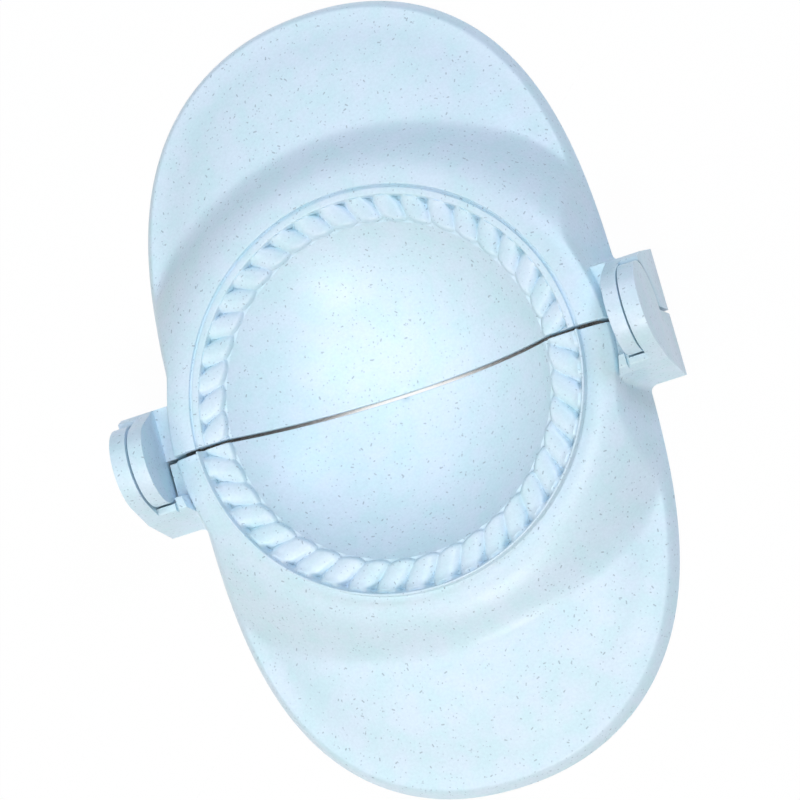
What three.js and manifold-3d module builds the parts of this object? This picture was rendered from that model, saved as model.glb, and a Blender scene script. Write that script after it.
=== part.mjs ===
// Dumpling press with two moulded halves, shown folded open flat.
// Lengths are in millimetres. X is the hinge axis, the rear half lies towards +Y,
// the front half towards -Y, and the skirts of both halves stand on Z = 0.

import * as THREE from 'three';
import { mergeVertices } from 'three/addons/utils/BufferGeometryUtils.js';
import Module from 'manifold-3d';

const wasm = await Module();
wasm.setup();

// Driving sizes. Heights called depth are measured down from the mating plane,
// the plane of the hinge axis in which the two rings meet when the press is folded.

const size = {
  // Bowl that holds the filling, and the room left under it.
  bowlRadius: 34,
  bowlDepth: 15.4,
  bowlWall: 1.5,
  restClearance: 0.3,

  // Rope-like crimping band round the bowl.
  bandFloorDepth: 1.9,
  bandFloorWall: 1.7,
  frontBandWidth: 6.1,
  rearBandWidth: 5.2,
  bandWallRun: 0.3,
  strandCrestDepth: 0.45,
  strandLedge: 0.3,

  // Sealing ridge of the front half and the groove of the rear half that takes it.
  ridgeWallRun: 0.45,
  ridgeWidth: 0.95,
  ridgeHeight: 0.9,
  frontStepDepth: 1.5,
  rearStepDepth: 0.35,
  lipDepth: 0.2,
  sealClearance: 0.25,

  // Shell outside the ring: crown, brim that is the handle, flat rim and skirt.
  shoulderWidth: 7.5,
  handleLength: 41.5,
  shellWall: 2.2,
  crownCurveRadius: 9.5,
  brimRootDepth: 7.2,
  rimHeight: 3.4,
  valleyRound: 3,
  rimRound: 1.6,
  edgeRound: 3,
  skirtLean: 5.3,
  skirtWall: 2.2,

  // The crown ends in a steep drum wall, which stands out of the skirt at the hinges.
  drumLean: 2.1,
  drumRound: 4,

  // Hinges. Outwards from the body each has a web, a knuckle layer and a cheek layer.
  // Below the discs the blocks of the two halves meet and stop them when flat.
  hingeHalfGap: 0.4,
  hingeStandOff: 0.8,
  knuckleThickness: 3.25,
  cheekThickness: 3.4,
  layerClearance: 0.3,
  knuckleRadius: 8.6,
  cheekRadiusExtra: 0.3,
  pocketClearance: 0.4,
  blockCornerExtra: 2.4,
  blockFootExtra: 2.1,
  blockCornerDepth: 4.2,
  blockLandDepth: 1.6,
  webTopDepth: 5,
  armInset: 2.6,
  armWidth: 3.7,
  armSlotWidth: 0.6,
  armSlotDepth: 1,

  // Stub moulded on each cheek and the blind hole for it in each knuckle.
  stubRadius: 3,
  stubLength: 2,
  stubClearance: 0.08,
  stubHoleFloor: 1,
};

// How far solids run into what they join, and cutters past what they cut.
const joinOverlap = 0.4;
const cutOverrun = 1;

// Plan outline of the skirt: a superellipse with these exponents across and along.
const outlineExponents = { across: 2.15, along: 3.3 };

// The brim falls with the outline value of a point raised to this exponent, and
// meets the flat rim after this share of its fall to the edge.
const brimFallExponent = 1.6;
const brimMeetsRimShare = 0.742;

// Resolution of the curved surfaces.
const steps = { turn: 40, bowl: 6, circle: 40, strand: 12, band: 96, bisection: 40 };
const turnOverrunAngle = THREE.MathUtils.degToRad(5);

// Strands of the crimping band on each half. They lean, the outer end ahead of the
// inner end, and their width is this share of the room that each has.
const strandCount = 21;
const strandLeanAngle = THREE.MathUtils.degToRad(32);
const strandWidthShare = 1.045;

// Widths of the edge zones, as shares of what is left beside the ring.
const edgeZoneShare = 0.87;
const undersideZoneShare = 0.85;

// Where the rings of points lie: over the shoulder between the ring and the edge
// zone, and inside each edge zone by their inset from its outer end.
const shoulderShares = [0.07, 0.14, 0.21, 0.28, 0.34, 0.4, 0.48, 0.6, 0.75, 0.88];
const edgeInsetShares = [1, 0.82, 0.66, 0.5, 0.4, 0.31, 0.24, 0.16, 0.07];
const undersideShares = [0.28, 0.4, 0.6, 1];
const undersideInsetShares = [0.08, 0.3, 0.6];

const plastic = { color: 0xc9e3ee, roughness: 0.5, metalness: 0 };

// Radii and depths that follow from the driving sizes.

const frontBandRadius = size.bowlRadius + size.frontBandWidth;
const rearBandRadius = size.bowlRadius + size.rearBandWidth;
const ridgeInside = frontBandRadius + size.ridgeWallRun;
const ridgeOutside = ridgeInside + size.ridgeWidth;
const grooveInside = ridgeInside - size.sealClearance;
const grooveOutside = ridgeOutside + size.sealClearance;
const grooveDepth = size.ridgeHeight + size.sealClearance;
const ringUndersideDepth = size.bandFloorDepth + size.bandFloorWall;
const bowlRise = size.bowlDepth - size.bandFloorDepth;
const bowlSphereRadius = (size.bowlRadius ** 2 + bowlRise ** 2) / (2 * bowlRise);
const bowlCentreHeight = bowlSphereRadius - size.bowlDepth;
const bowlBackRadius = bowlSphereRadius + size.bowlWall;
const strandPitch = Math.PI / strandCount;

const skirtHalfWidth = ridgeOutside + size.shoulderWidth;
const skirtHalfLength = ridgeOutside + size.handleLength;
const skirtDepth = size.bowlDepth + size.bowlWall + size.restClearance;
const rimDepth = skirtDepth - size.rimHeight;
const brimFall = (rimDepth - size.brimRootDepth) / brimMeetsRimShare;
const edgeZone = edgeZoneShare * size.shoulderWidth;
const undersideEdgeZone = undersideZoneShare * (size.shoulderWidth - size.skirtWall);

const knuckleInside = skirtHalfWidth + size.hingeStandOff;
const knuckleOutside = knuckleInside + size.knuckleThickness;
const cheekInside = knuckleOutside + size.layerClearance;
const cheekOutside = cheekInside + size.cheekThickness;
const cheekRadius = size.knuckleRadius + size.cheekRadiusExtra;
const blockCornerReach = cheekRadius + size.blockCornerExtra;
const blockFootReach = blockCornerReach + size.blockFootExtra;
const armRoot = skirtHalfWidth - size.armInset;
const drumTurn = Math.asin(blockFootReach / skirtHalfWidth) / 2;
const armReach = blockCornerReach - size.armWidth;

// Surfaces of a half, with x along the hinge axis and v the distance from it.

function smoothMin(a, b, blend) {
  const h = Math.max(blend - Math.abs(a - b), 0) / blend;
  return Math.min(a, b) - h * h * blend / 4;
}

function smoothMax(a, b, blend) {
  return -smoothMin(-a, -b, blend);
}

// 1 on the outline drawn the given inset inside the skirt's edge, more outside it.
function outlineValue(x, v, inset) {
  const across = Math.abs(x) / (skirtHalfWidth - inset);
  const along = Math.abs(v) / (skirtHalfLength - inset);
  return across ** outlineExponents.across + along ** outlineExponents.along;
}

function bisect(low, high, isBelow) {
  let [a, b] = [low, high];
  for (let i = 0; i < steps.bisection; i += 1) {
    const middle = (a + b) / 2;
    if (isBelow(middle)) {
      a = middle;
    } else {
      b = middle;
    }
  }
  return (a + b) / 2;
}

// Distance from the centre to the outline in a direction.
function outlineRadius(angle, inset) {
  const [c, s] = [Math.cos(angle), Math.sin(angle)];
  return bisect(0, skirtHalfWidth + skirtHalfLength, (r) => outlineValue(r * c, r * s, inset) < 1);
}

function insetAt(x, v) {
  return bisect(0, skirtHalfWidth, (inset) => outlineValue(x, v, inset) < 1);
}

function crownHeight(radius, stepDepth) {
  return -stepDepth - (radius - ridgeOutside) ** 2 / (2 * size.crownCurveRadius);
}

function brimHeight(x, v) {
  return -size.brimRootDepth - brimFall * outlineValue(x, v, 0) ** brimFallExponent;
}

// Crown, brim and rim together, before the skirt cuts them off.
function capHeight(radius, angle, stepDepth) {
  const brim = brimHeight(radius * Math.cos(angle), radius * Math.sin(angle));
  const cap = smoothMax(crownHeight(radius, stepDepth), brim, size.valleyRound);
  return smoothMax(cap, -rimDepth, size.rimRound);
}

function skirtHeight(inset) {
  return -skirtDepth + inset * skirtDepth / size.skirtLean;
}

// The steep wall round the crown. It ends below at the skirt's widest place.
function drumHeight(radius) {
  return -skirtDepth + (skirtHalfWidth - radius) * skirtDepth / size.drumLean;
}

function wallHeight(radius, inset) {
  return smoothMax(skirtHeight(inset), drumHeight(radius), size.drumRound);
}

function topHeight(radius, angle, inset, stepDepth) {
  return smoothMin(capHeight(radius, angle, stepDepth), wallHeight(radius, inset), size.edgeRound);
}

function undersideHeight(radius, angle, inset, stepDepth) {
  const cap = capHeight(radius, angle, stepDepth) - size.shellWall;
  const wall = wallHeight(radius + size.skirtWall, inset - size.skirtWall);
  return smoothMin(cap, wall, size.edgeRound);
}

function bowlHeight(radius, sphereRadius) {
  return bowlCentreHeight - Math.sqrt(sphereRadius ** 2 - radius ** 2);
}

// Ring profiles of the two halves, from the bowl outwards, as [radius, height] points.
// The strands start at the hinge plane or half a strand from it, so that those of one
// half fall between those of the other when the press is folded.

const frontRing = {
  stepDepth: size.frontStepDepth,
  strandStartShare: 0,
  points: [
    [size.bowlRadius, -size.bandFloorDepth],
    [frontBandRadius, -size.bandFloorDepth],
    [ridgeInside, size.ridgeHeight],
    [ridgeOutside, size.ridgeHeight],
    [ridgeOutside, -size.frontStepDepth],
  ],
  bandRadius: frontBandRadius,
};

const rearRing = {
  stepDepth: size.rearStepDepth,
  strandStartShare: 0.5,
  points: [
    [size.bowlRadius, -size.bandFloorDepth],
    [rearBandRadius, -size.bandFloorDepth],
    [rearBandRadius + size.bandWallRun, -size.lipDepth],
    [grooveInside, -size.lipDepth],
    [grooveInside, -grooveDepth],
    [grooveOutside, -grooveDepth],
    [grooveOutside, -size.rearStepDepth],
  ],
  bandRadius: rearBandRadius,
};

// Section of a half in one direction, a closed loop of [radius, height] points
// that starts and ends on the axis through the bowl's centre.
function sectionPoints(angle, ring) {
  const points = [];
  for (let i = 0; i <= steps.bowl; i += 1) {
    const radius = size.bowlRadius * i / steps.bowl;
    points.push([radius, bowlHeight(radius, bowlSphereRadius)]);
  }
  points.push(...ring.points);

  const shoulderStart = ring.points.at(-1)[0];
  const shoulderEnd = outlineRadius(angle, edgeZone);
  for (const share of shoulderShares) {
    const radius = THREE.MathUtils.lerp(shoulderStart, shoulderEnd, share);
    const inset = insetAt(radius * Math.cos(angle), radius * Math.sin(angle));
    points.push([radius, topHeight(radius, angle, inset, ring.stepDepth)]);
  }
  for (const share of edgeInsetShares) {
    const inset = share * edgeZone;
    const radius = outlineRadius(angle, inset);
    points.push([radius, topHeight(radius, angle, inset, ring.stepDepth)]);
  }
  points.push([outlineRadius(angle, 0), -skirtDepth]);
  points.push([outlineRadius(angle, size.skirtWall), -skirtDepth]);

  for (const share of undersideInsetShares) {
    const inset = size.skirtWall + share * undersideEdgeZone;
    const radius = outlineRadius(angle, inset);
    points.push([radius, undersideHeight(radius, angle, inset, ring.stepDepth)]);
  }
  const undersideEnd = outlineRadius(angle, size.skirtWall + undersideEdgeZone);
  for (const share of undersideShares.toReversed()) {
    const radius = THREE.MathUtils.lerp(ridgeOutside, undersideEnd, share);
    const inset = insetAt(radius * Math.cos(angle), radius * Math.sin(angle));
    points.push([radius, undersideHeight(radius, angle, inset, ring.stepDepth)]);
  }
  const backRim = Math.sqrt(bowlBackRadius ** 2 - (bowlCentreHeight + ringUndersideDepth) ** 2);
  points.push([ridgeOutside, -ringUndersideDepth]);
  for (let i = steps.bowl; i >= 0; i -= 1) {
    const radius = backRim * i / steps.bowl;
    points.push([radius, bowlHeight(radius, bowlBackRadius)]);
  }
  return points;
}

// Solids.

function solidFrom(geometry) {
  const bare = geometry.index ? geometry.toNonIndexed() : geometry.clone();
  bare.deleteAttribute('normal');
  bare.deleteAttribute('uv');
  const merged = mergeVertices(bare);
  return new wasm.Manifold(new wasm.Mesh({
    numProp: 3,
    vertProperties: new Float32Array(merged.attributes.position.array),
    triVerts: new Uint32Array(merged.index.array),
  }));
}

function geometryFrom(solid) {
  const mesh = solid.getMesh();
  const geometry = new THREE.BufferGeometry();
  geometry.setAttribute('position', new THREE.BufferAttribute(new Float32Array(mesh.vertProperties), 3));
  geometry.setIndex(new THREE.BufferAttribute(new Uint32Array(mesh.triVerts), 1));
  const facets = geometry.toNonIndexed();
  facets.computeVertexNormals();
  return facets;
}

// Sweeps the section through a little more than half a turn. The two ends are
// flat caps beyond the hinge plane and are cut off afterwards.
function sweptShell(ring) {
  const from = -turnOverrunAngle;
  const to = Math.PI + turnOverrunAngle;
  const sections = [];
  for (let i = 0; i <= steps.turn; i += 1) {
    const angle = THREE.MathUtils.lerp(from, to, i / steps.turn);
    const [c, s] = [Math.cos(angle), Math.sin(angle)];
    sections.push(sectionPoints(angle, ring).map(([r, z]) => new THREE.Vector3(r * c, r * s, z)));
  }
  const count = sections[0].length;
  const faces = [];
  for (let i = 0; i < steps.turn; i += 1) {
    const [near, far] = [sections[i], sections[i + 1]];
    for (let k = 0; k < count - 1; k += 1) {
      if (k > 0) {
        faces.push(near[k], near[k + 1], far[k]);
      }
      if (k < count - 2) {
        faces.push(far[k], near[k + 1], far[k + 1]);
      }
    }
  }
  const flat = sectionPoints(from, ring).map(([r, z]) => new THREE.Vector2(r, z));
  for (const [a, b, c] of THREE.ShapeUtils.triangulateShape(flat, [])) {
    const first = sections[0];
    faces.push(first[a], first[b], first[c]);
  }
  const flatEnd = sectionPoints(to, ring).map(([r, z]) => new THREE.Vector2(r, z));
  for (const [a, b, c] of THREE.ShapeUtils.triangulateShape(flatEnd, [])) {
    const last = sections.at(-1);
    faces.push(last[c], last[b], last[a]);
  }
  return solidFrom(new THREE.BufferGeometry().setFromPoints(faces));
}

// Full ring with a rectangular section round the bowl's axis.
function annulus(inner, outer, bottom, top) {
  const section = [[inner, bottom], [outer, bottom], [outer, top], [inner, top], [inner, bottom]];
  const shape = new THREE.LatheGeometry(section.map(([r, z]) => new THREE.Vector2(r, z)), steps.band);
  shape.rotateX(Math.PI / 2);
  return solidFrom(shape);
}

// The rope: rounded strands that lie slanted across the band, side by side. Those at
// the hinge plane run over it and are cut off afterwards.
function rope(ring, leanSign) {
  const middle = (size.bowlRadius + ring.bandRadius) / 2;
  const length = 2 * (ring.bandRadius - size.bowlRadius);
  const width = strandWidthShare * strandPitch * middle * Math.cos(strandLeanAngle);
  let strands = wasm.Manifold.union([]);
  const start = ring.strandStartShare;
  for (let turn = -start; turn <= strandCount + start; turn += 1) {
    const shape = new THREE.CylinderGeometry(1, 1, length, steps.strand);
    shape.rotateZ(Math.PI / 2);
    shape.scale(1, width / 2, size.bandFloorDepth - size.strandCrestDepth);
    shape.rotateZ(leanSign * strandLeanAngle);
    shape.translate(middle, 0, -size.bandFloorDepth);
    shape.rotateZ(turn * strandPitch);
    strands = strands.add(solidFrom(shape));
  }
  const inner = size.bowlRadius + size.strandLedge;
  const outer = ring.bandRadius + joinOverlap;
  return strands.intersect(annulus(inner, outer, -size.bandFloorDepth - joinOverlap, 0));
}

function box(xRange, yRange, zRange) {
  const shape = new THREE.BoxGeometry(xRange[1] - xRange[0], yRange[1] - yRange[0], zRange[1] - zRange[0]);
  shape.translate((xRange[0] + xRange[1]) / 2, (yRange[0] + yRange[1]) / 2, (zRange[0] + zRange[1]) / 2);
  return solidFrom(shape);
}

// Range along X on the side of the hinge that side, +1 or -1, stands for.
function sideRange(side, inner, outer) {
  return side > 0 ? [inner, outer] : [-outer, -inner];
}

// A plate with an outline in the YZ plane between two distances along X.
function plate(outline, side, inner, outer) {
  const [from, to] = sideRange(side, inner, outer);
  const shape = new THREE.ExtrudeGeometry(outline, {
    depth: to - from,
    bevelEnabled: false,
    curveSegments: steps.circle,
  });
  const toYZ = new THREE.Matrix4().makeBasis(
    new THREE.Vector3(0, 1, 0),
    new THREE.Vector3(0, 0, 1),
    new THREE.Vector3(1, 0, 0),
  );
  shape.applyMatrix4(toYZ);
  shape.translate(from, 0, 0);
  return solidFrom(shape);
}

// Direction, seen from the axis, in which a line from a corner touches a round.
function tangentAngle(radius, reach, depth) {
  const distance = Math.hypot(reach, depth);
  return Math.acos(radius / distance) - Math.atan2(depth, reach);
}

// Round knuckle or cheek with the block that grows out of it towards +Y.
function discWithBlock(radius) {
  const touch = tangentAngle(radius, blockCornerReach, size.blockCornerDepth);
  const foot = -Math.acos(size.hingeHalfGap / radius);
  const outline = new THREE.Shape();
  outline.moveTo(size.hingeHalfGap, -skirtDepth);
  outline.lineTo(blockFootReach, -skirtDepth);
  outline.lineTo(blockCornerReach, -size.blockCornerDepth);
  outline.lineTo(radius * Math.cos(touch), radius * Math.sin(touch));
  outline.absarc(0, 0, radius, touch, foot + 2 * Math.PI, false);
  outline.closePath();
  return outline;
}

// How far the slanted end of the blocks is from the hinge plane at a depth. Above
// the corner it leans over and touches the round of the cheek.
function endReach(depth) {
  if (depth > size.blockCornerDepth) {
    const share = (depth - size.blockCornerDepth) / (skirtDepth - size.blockCornerDepth);
    return THREE.MathUtils.lerp(blockCornerReach, blockFootReach, share);
  }
  const touch = tangentAngle(cheekRadius, blockCornerReach, size.blockCornerDepth);
  const touchHeight = cheekRadius * Math.sin(touch);
  const share = (size.blockCornerDepth - depth) / (size.blockCornerDepth + touchHeight);
  return THREE.MathUtils.lerp(blockCornerReach, cheekRadius * Math.cos(touch), share);
}

// Block with the hollow round that the other half's knuckle or cheek turns in.
function pocketBlock(discRadius) {
  const radius = discRadius + size.pocketClearance;
  const land = -Math.asin(size.blockLandDepth / radius);
  const foot = -Math.acos(size.hingeHalfGap / radius);
  const outline = new THREE.Shape();
  outline.moveTo(size.hingeHalfGap, -skirtDepth);
  outline.lineTo(blockFootReach, -skirtDepth);
  outline.lineTo(blockCornerReach, -size.blockCornerDepth);
  outline.lineTo(endReach(size.blockLandDepth), -size.blockLandDepth);
  outline.lineTo(radius * Math.cos(land), -size.blockLandDepth);
  outline.absarc(0, 0, radius, land, foot, true);
  outline.closePath();
  return outline;
}

// Side view of a web or arm: flat on top, with the slanted end of the blocks.
function webOutline(near, topDepth) {
  const outline = new THREE.Shape();
  outline.moveTo(near, -skirtDepth);
  outline.lineTo(blockFootReach, -skirtDepth);
  if (topDepth < size.blockCornerDepth) {
    outline.lineTo(blockCornerReach, -size.blockCornerDepth);
  }
  outline.lineTo(endReach(topDepth), -topDepth);
  outline.lineTo(near, -topDepth);
  outline.closePath();
  return outline;
}

// A web or arm between two distances along X, cut off inside the drum wall that it
// joins. The cut leans with the wall and turns with it halfway along the block.
function wallJoin(side, near, topDepth, inner, outer) {
  const length = skirtDepth + skirtHalfWidth;
  const shape = new THREE.BoxGeometry(length, length, 2 * length);
  shape.translate(-length / 2, 0, 0);
  shape.rotateY(-Math.atan(size.drumLean / skirtDepth));
  shape.rotateZ(side * drumTurn);
  shape.translate(skirtHalfWidth - size.skirtWall / 2, 0, -skirtDepth);
  if (side < 0) {
    shape.rotateZ(Math.PI);
  }
  return plate(webOutline(near, topDepth), side, inner, outer).subtract(solidFrom(shape));
}

// Round bar along X.
function bar(radius, side, inner, outer) {
  const outline = new THREE.Shape();
  outline.absarc(0, 0, radius, 0, 2 * Math.PI, false);
  return plate(outline, side, inner, outer);
}

// Hinge pieces that belong to the rear half: web, knuckle with its blind hole,
// and the block outside the knuckle in which the front half's cheek turns.
function rearHinge(side) {
  const webOutside = knuckleInside + joinOverlap;
  const web = wallJoin(side, size.hingeHalfGap, size.webTopDepth, ridgeOutside, webOutside);
  const knuckle = plate(discWithBlock(size.knuckleRadius), side, knuckleInside, knuckleOutside);
  const block = plate(pocketBlock(cheekRadius), side, knuckleOutside - joinOverlap, cheekOutside);
  const outerBlock = block.subtract(bar(
    cheekRadius + size.pocketClearance, side, knuckleOutside - cutOverrun, knuckleOutside));
  const hole = bar(
    size.stubRadius + size.stubClearance, side,
    knuckleInside + size.stubHoleFloor, knuckleOutside + cutOverrun);
  return web.add(knuckle).add(outerBlock).subtract(hole);
}

// Hinge pieces that belong to the front half: web, arm with its slot, the block in
// which the rear half's knuckle turns, and the cheek with its stub.
function frontHinge(side) {
  const webOutside = knuckleInside - size.layerClearance;
  const web = wallJoin(side, size.hingeHalfGap, size.webTopDepth, ridgeOutside, webOutside);
  const arm = wallJoin(side, armReach, size.blockLandDepth, armRoot, webOutside);
  const block = plate(
    pocketBlock(size.knuckleRadius), side, webOutside - joinOverlap, cheekInside + joinOverlap);
  const cheek = plate(discWithBlock(cheekRadius), side, cheekInside, cheekOutside);
  const stub = bar(size.stubRadius, side, cheekInside - size.stubLength, cheekInside + joinOverlap);
  const slot = box(
    sideRange(side, webOutside - size.armSlotWidth, webOutside),
    [0, blockFootReach + cutOverrun],
    [-size.blockLandDepth - size.armSlotDepth, 0]);
  return web.add(arm).add(block).subtract(slot).add(cheek).add(stub);
}

// A whole half, drawn towards +Y. The front half is turned round to -Y afterwards.
function half(ring, leanSign, hinge) {
  const reach = skirtHalfWidth + cutOverrun;
  const height = skirtDepth + cutOverrun;
  const beyondHinge = box([-reach, reach], [-skirtHalfLength, size.hingeHalfGap], [-height, height]);
  const body = sweptShell(ring).add(rope(ring, leanSign)).subtract(beyondHinge);
  return body.add(hinge(1)).add(hinge(-1));
}

const group = new THREE.Group();
group.position.z = skirtDepth;

function addPiece(name, solid, turn) {
  const mesh = new THREE.Mesh(geometryFrom(solid), new THREE.MeshStandardMaterial(plastic));
  mesh.name = name;
  mesh.rotation.z = turn;
  group.add(mesh);
}

addPiece('front_half', half(frontRing, -1, frontHinge), Math.PI);
addPiece('rear_half', half(rearRing, 1, rearHinge), 0);

export default group;
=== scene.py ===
"""Looks of the dumpling press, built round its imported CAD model.

Both moulded halves are modelled again with fine forms and stand for their CAD
nodes. They are drawn in millimetres from the mating plane, the plane of the hinge
axis, with the half lying towards +Y, and are then laid into the frame in metres.
"""

import logging
import math
from dataclasses import dataclass, field
from enum import Enum
from typing import Callable, Sequence

import bpy
import numpy as np
from mathutils import Matrix, Vector


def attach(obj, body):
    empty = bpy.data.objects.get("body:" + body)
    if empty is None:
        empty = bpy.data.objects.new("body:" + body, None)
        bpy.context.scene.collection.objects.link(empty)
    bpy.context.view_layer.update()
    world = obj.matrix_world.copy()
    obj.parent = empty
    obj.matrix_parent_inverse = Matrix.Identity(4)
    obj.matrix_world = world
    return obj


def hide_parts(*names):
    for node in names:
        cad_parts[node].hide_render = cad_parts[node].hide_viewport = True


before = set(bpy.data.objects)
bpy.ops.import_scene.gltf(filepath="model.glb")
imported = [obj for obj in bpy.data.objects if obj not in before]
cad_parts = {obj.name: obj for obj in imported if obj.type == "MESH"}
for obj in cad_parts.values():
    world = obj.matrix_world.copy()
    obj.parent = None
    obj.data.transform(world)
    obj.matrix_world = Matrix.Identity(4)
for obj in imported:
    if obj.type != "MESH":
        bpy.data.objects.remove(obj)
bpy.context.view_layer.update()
METRES_PER_MM = 0.001
PICTURE_PIXELS = 800
HALVINGS = 32  # enough for a search by halving to end far below a micrometre

log = logging.getLogger("dumpling_press")

Point = tuple[float, float]
Array = np.ndarray
Settings = dict[str | int, object]


class HingeSide(Enum):
    """End of the hinge axis, as the sign of X on which it lies."""

    PLUS = 1.0
    MINUS = -1.0


class Zone(Enum):
    """Formula that gives the height of a row of points."""

    BOWL = "bowl"
    BAND = "band"
    FIXED = "fixed"
    TOP = "top"
    UNDERSIDE = "underside"
    BOWL_BACK = "bowl back"


class Fuse(Enum):
    """What a tool body does to the body that it meets."""

    ADD = "UNION"
    CUT = "DIFFERENCE"


@dataclass(frozen=True)
class Row:
    """Row of points that follows the bowl round.

    Its radius starts at start and goes the given share of the way to the plan
    outline drawn the given inset inside the skirt's edge.
    """

    zone: Zone
    start: float = 0.0
    share: float = 0.0
    inset: float = 0.0
    height: float = 0.0


@dataclass(frozen=True)
class Sizes:
    """Sizes in millimetres that both mouldings share. Depths go down from the mating plane."""

    bowl_radius: float = 34.0
    bowl_depth: float = 15.4
    bowl_wall: float = 1.5
    rest_clearance: float = 0.3
    band_floor_depth: float = 1.9
    band_floor_wall: float = 1.7
    strand_crest_depth: float = 0.45
    strand_ledge: float = 0.08
    ring_outside: float = 41.5
    shoulder_width: float = 7.5
    handle_length: float = 41.5
    shell_wall: float = 2.2
    crown_curve_radius: float = 9.5
    brim_root_depth: float = 7.2
    rim_height: float = 3.4
    valley_round: float = 3.0
    rim_round: float = 1.6
    edge_round: float = 3.0
    skirt_lean: float = 5.3
    skirt_wall: float = 2.2
    drum_lean: float = 2.1
    drum_round: float = 6.0
    hinge_gap: float = 0.4
    hinge_stand_off: float = 0.8
    knuckle_thickness: float = 3.1
    cheek_thickness: float = 3.4
    layer_clearance: float = 0.45
    knuckle_radius: float = 8.6
    cheek_radius: float = 8.9
    pocket_clearance: float = 0.4
    block_corner_reach: float = 11.3
    block_foot_reach: float = 13.4
    block_corner_depth: float = 4.2
    block_land_depth: float = 1.6
    web_top_depth: float = 5.0
    arm_width: float = 3.7
    arm_inner_reach: float = 47.6
    arm_inner_turn: float = 0.22
    arm_inner_lean: float = 0.25
    arm_slot_width: float = 0.6
    arm_slot_depth: float = 1.0
    stub_radius: float = 3.0
    stub_length: float = 2.0
    stub_clearance: float = 0.08
    stub_hole_floor: float = 1.0

    @property
    def half_width(self) -> float:
        """Half the skirt's width along the hinge axis."""
        return self.ring_outside + self.shoulder_width

    @property
    def half_length(self) -> float:
        """Reach of the skirt from the hinge axis."""
        return self.ring_outside + self.handle_length

    @property
    def skirt_depth(self) -> float:
        """Depth of the plane on which the press stands."""
        return self.bowl_depth + self.bowl_wall + self.rest_clearance

    @property
    def rim_depth(self) -> float:
        """Depth of the flat lip along the handle's edge."""
        return self.skirt_depth - self.rim_height

    @property
    def drum_turn(self) -> float:
        """Direction of the drum wall halfway along the hinge blocks."""
        return math.asin(self.block_foot_reach / self.half_width) / 2

    @property
    def bowl_sphere_radius(self) -> float:
        """Radius of the sphere that the bowl is part of."""
        rise = self.bowl_depth - self.band_floor_depth
        return (self.bowl_radius**2 + rise**2) / (2 * rise)

    @property
    def bowl_centre_height(self) -> float:
        """Height of that sphere's centre."""
        return self.bowl_sphere_radius - self.bowl_depth

    @property
    def knuckle_inside(self) -> float:
        """Distance of the knuckles' inner faces from the middle."""
        return self.half_width + self.hinge_stand_off

    @property
    def knuckle_outside(self) -> float:
        """Distance of the knuckles' outer faces from the middle."""
        return self.knuckle_inside + self.knuckle_thickness

    @property
    def cheek_inside(self) -> float:
        """Distance of the cheeks' inner faces from the middle."""
        return self.knuckle_outside + self.layer_clearance

    @property
    def cheek_outside(self) -> float:
        """Distance of the cheeks' outer faces from the middle."""
        return self.cheek_inside + self.cheek_thickness


def smooth_min(a: Array, b: Array, blend: float) -> Array:
    """Lower of two heights with a rounded corner between them.

    Args:
        a: First heights.
        b: Second heights.
        blend: Difference of height over which the corner is rounded.

    Returns:
        The rounded lower heights.
    """
    near = np.maximum(blend - np.abs(a - b), 0.0) / blend
    return np.minimum(a, b) - near * near * blend / 4


def smooth_max(a: Array, b: Array, blend: float) -> Array:
    """Higher of two heights, rounded as smooth_min does."""
    return -smooth_min(-a, -b, blend)


def bisect(low: Array, high: Array, is_below: Callable[[Array], Array]) -> Array:
    """Values at which a test stops to hold, found by halving.

    Args:
        low: Values at which the test holds.
        high: Values at which it doesn't.
        is_below: The test.

    Returns:
        The values between them.
    """
    for _ in range(HALVINGS):
        middle = (low + high) / 2
        below = is_below(middle)
        low, high = np.where(below, middle, low), np.where(below, high, middle)
    return (low + high) / 2


def rounded(points: Sequence[Point], radii: Sequence[float], steps: int = 5) -> list[Point]:
    """Line through points whose inner corners are turned into arcs.

    Args:
        points: Corners of an open line.
        radii: Radius of the arc at each corner, 0 where it stays sharp.
        steps: Number of pieces in each arc.

    Returns:
        The points of the rounded line.
    """
    line = [points[0]]
    for before, corner, after, radius in zip(points, points[1:], points[2:], radii[1:]):
        if radius <= 0:
            line.append(corner)
            continue
        c = Vector(corner)
        back, ahead = (Vector(before) - c).normalized(), (Vector(after) - c).normalized()
        half = back.angle(ahead) / 2
        centre = c + (back + ahead).normalized() * (radius / math.sin(half))
        start, end = c + back * (radius / math.tan(half)), c + ahead * (radius / math.tan(half))
        for i in range(steps + 1):
            spoke = (start - centre).lerp(end - centre, i / steps).normalized() * radius
            line.append(tuple(centre + spoke))
    line.append(points[-1])
    return line


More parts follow.
